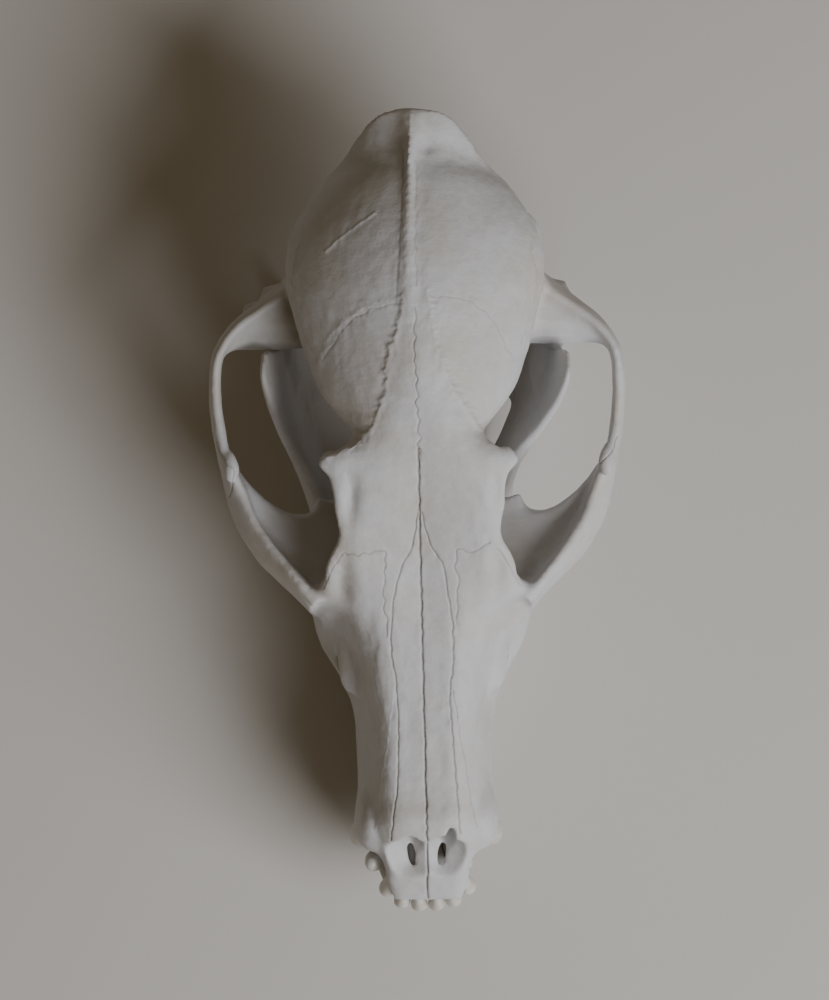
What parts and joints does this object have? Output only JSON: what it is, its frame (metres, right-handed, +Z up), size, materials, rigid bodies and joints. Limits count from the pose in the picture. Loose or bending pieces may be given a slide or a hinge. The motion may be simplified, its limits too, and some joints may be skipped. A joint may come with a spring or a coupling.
{
  "type": "fox skull",
  "caption": "Bleached red fox skull with the lower jaw in place, standing on the jaw: a long snout, wide cheekbones, a narrow crest and a full set of separate teeth.",
  "frame": {"origin": "centre of the bounding box on the surface that the lower jaw stands on", "axes": "+Z up; +Y runs from the snout to the back of the head, with the snout towards -Y; +X is the animal's left"},
  "size_m": [0.077, 0.1481, 0.0678],
  "materials": {
    "bone": "matt, bleached, slightly chalky bone with warm brown in the hollows",
    "enamel": "satin tooth enamel, warmer towards the roots"
  },
  "bodies": {
    "root": {"cranium": "bone", "lower_jaw_left": "bone", "lower_jaw_right": "bone", "upper_left_incisor_1": "enamel", "upper_left_incisor_2": "enamel", "upper_left_incisor_3": "enamel", "upper_left_canine": "enamel", "upper_left_premolar_1": "enamel", "upper_left_premolar_2": "enamel", "upper_left_premolar_3": "enamel", "upper_left_premolar_4": "enamel", "upper_left_molar_1": "enamel", "upper_left_molar_2": "enamel", "upper_right_incisor_1": "enamel", "upper_right_incisor_2": "enamel", "upper_right_incisor_3": "enamel", "upper_right_canine": "enamel", "upper_right_premolar_1": "enamel", "upper_right_premolar_2": "enamel", "upper_right_premolar_3": "enamel", "upper_right_premolar_4": "enamel", "upper_right_molar_1": "enamel", "upper_right_molar_2": "enamel", "lower_left_incisor_1": "enamel", "lower_left_incisor_2": "enamel", "lower_left_incisor_3": "enamel", "lower_left_canine": "enamel", "lower_left_premolar_1": "enamel", "lower_left_premolar_2": "enamel", "lower_left_premolar_3": "enamel", "lower_left_premolar_4": "enamel", "lower_left_molar_1": "enamel", "lower_left_molar_2": "enamel", "lower_left_molar_3": "enamel", "lower_right_incisor_1": "enamel", "lower_right_incisor_2": "enamel", "lower_right_incisor_3": "enamel", "lower_right_canine": "enamel", "lower_right_premolar_1": "enamel", "lower_right_premolar_2": "enamel", "lower_right_premolar_3": "enamel", "lower_right_premolar_4": "enamel", "lower_right_molar_1": "enamel", "lower_right_molar_2": "enamel", "lower_right_molar_3": "enamel"}
  },
  "joints": []
}
